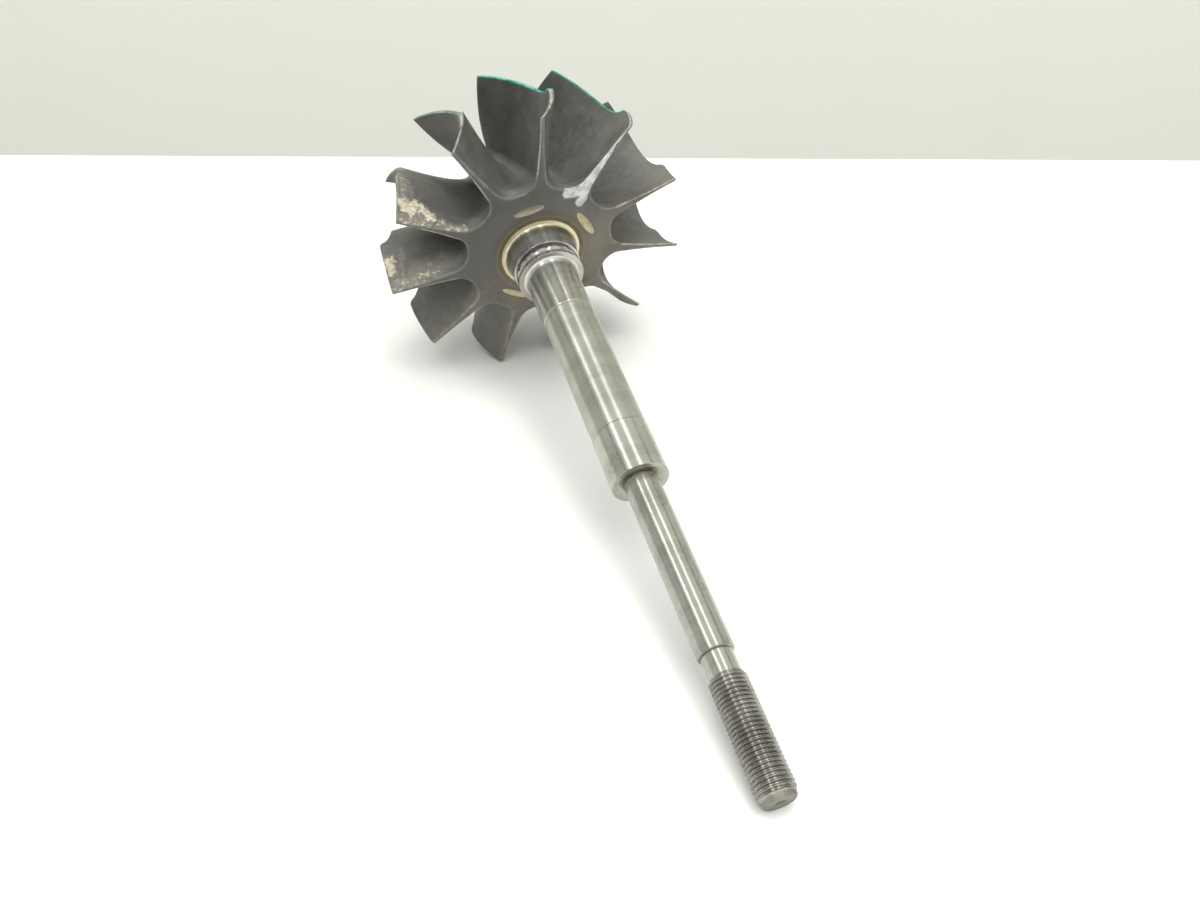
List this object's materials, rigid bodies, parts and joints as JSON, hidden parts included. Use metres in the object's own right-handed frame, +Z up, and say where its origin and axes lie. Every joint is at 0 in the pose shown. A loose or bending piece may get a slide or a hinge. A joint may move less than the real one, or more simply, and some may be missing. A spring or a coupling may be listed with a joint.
{
  "type": "turbocharger turbine wheel and shaft",
  "caption": "Radial turbine wheel with curved blades and a scalloped back disc on a stepped steel shaft with seal groove, journals and nut thread.",
  "frame": {"origin": "on the floor under the middle of the lying rotor's box", "axes": "+Z up, -Y towards the threaded shaft end, +X to the right seen from the shaft end; the rotor's own axis lies in the YZ plane and drops towards the shaft end"},
  "size_m": [0.0956, 0.2274, 0.0956],
  "materials": {
    "cast_alloy": "rough investment-cast nickel alloy, oxidised dark grey-brown, worn lighter at the blade edges",
    "weld_bead": "turned pale straw-coloured ring of the friction weld",
    "tinted_steel": "polished steel with a dark heat tint",
    "ground_steel": "ground bearing steel, satin bright",
    "thread_steel": "dark hardened steel with bright thread crests"
  },
  "bodies": {
    "root": {"blade_01": "cast_alloy", "blade_02": "cast_alloy", "blade_03": "cast_alloy", "blade_04": "cast_alloy", "blade_05": "cast_alloy", "blade_06": "cast_alloy", "blade_07": "cast_alloy", "blade_08": "cast_alloy", "blade_09": "cast_alloy", "blade_10": "cast_alloy", "blade_11": "cast_alloy", "compressor_journal": "ground_steel", "relieved_middle": "ground_steel", "ring_groove": "ground_steel", "seal_boss": "tinted_steel", "seal_land": "ground_steel", "seal_lip": "ground_steel", "shaft_spindle": "ground_steel", "shaft_thread": "thread_steel", "thread_end": "ground_steel", "thread_neck": "ground_steel", "turbine_journal": "ground_steel", "weld_ring": "weld_bead", "wheel_hub": "cast_alloy", "wheel_nose": "cast_alloy"}
  },
  "joints": []
}
